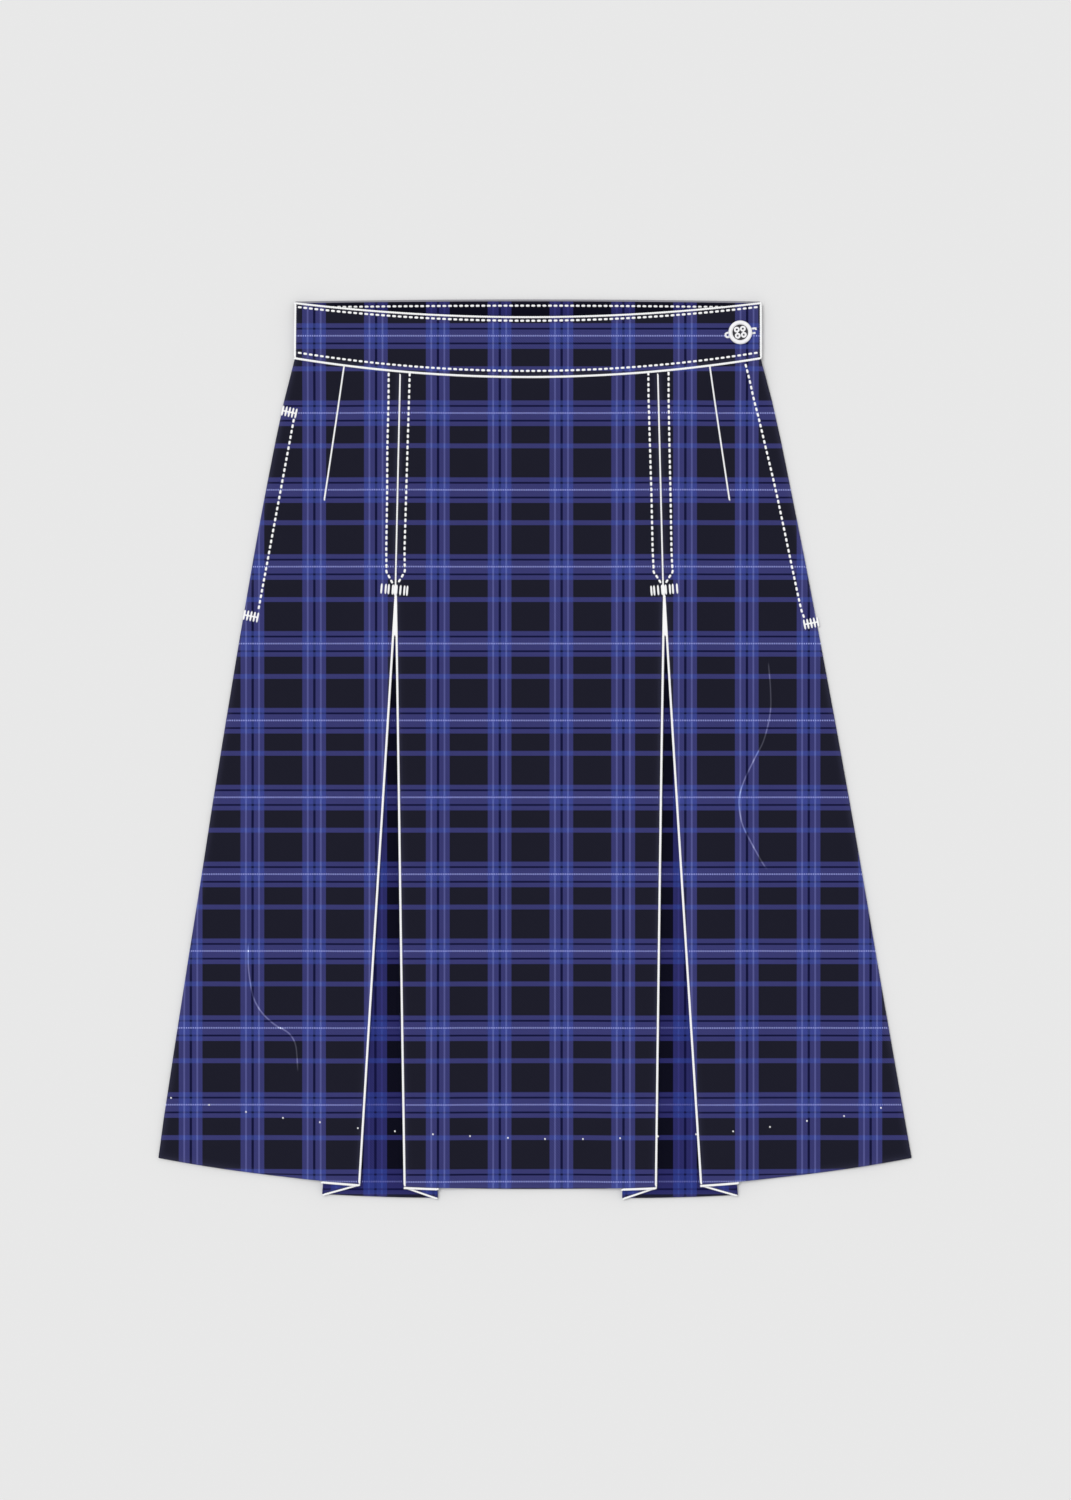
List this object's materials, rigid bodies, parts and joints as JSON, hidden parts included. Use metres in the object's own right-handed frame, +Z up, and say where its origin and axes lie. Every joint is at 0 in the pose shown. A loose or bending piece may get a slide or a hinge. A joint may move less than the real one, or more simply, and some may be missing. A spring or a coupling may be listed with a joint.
{
  "type": "plaid skirt laid out flat",
  "caption": "Knee-length A-line plaid skirt laid out flat on its back, with open pleats over underlays, a shaped waistband and a sewn button.",
  "frame": {"origin": "middle of the laid-out skirt's outline, on the surface that it lies on", "axes": "+Z up out of the skirt's front, +Y from hem to waist, +X to the right as seen from above"},
  "size_m": [0.5576, 0.6652, 0.0084],
  "materials": {
    "plaid_cloth": "matte twill",
    "underlay_cloth": "matte twill, in shade",
    "band_cloth": "matte twill, pressed flat",
    "thread": "white sewing thread",
    "button": "polished white rim"
  },
  "bodies": {
    "root": {"back_panel": "plaid_cloth", "front_centre": "plaid_cloth", "front_left": "plaid_cloth", "front_right": "plaid_cloth", "pleat_underlay_left": "underlay_cloth", "pleat_underlay_right": "underlay_cloth", "back_waistband": "band_cloth", "front_waistband": "band_cloth", "button": "button"}
  },
  "joints": []
}
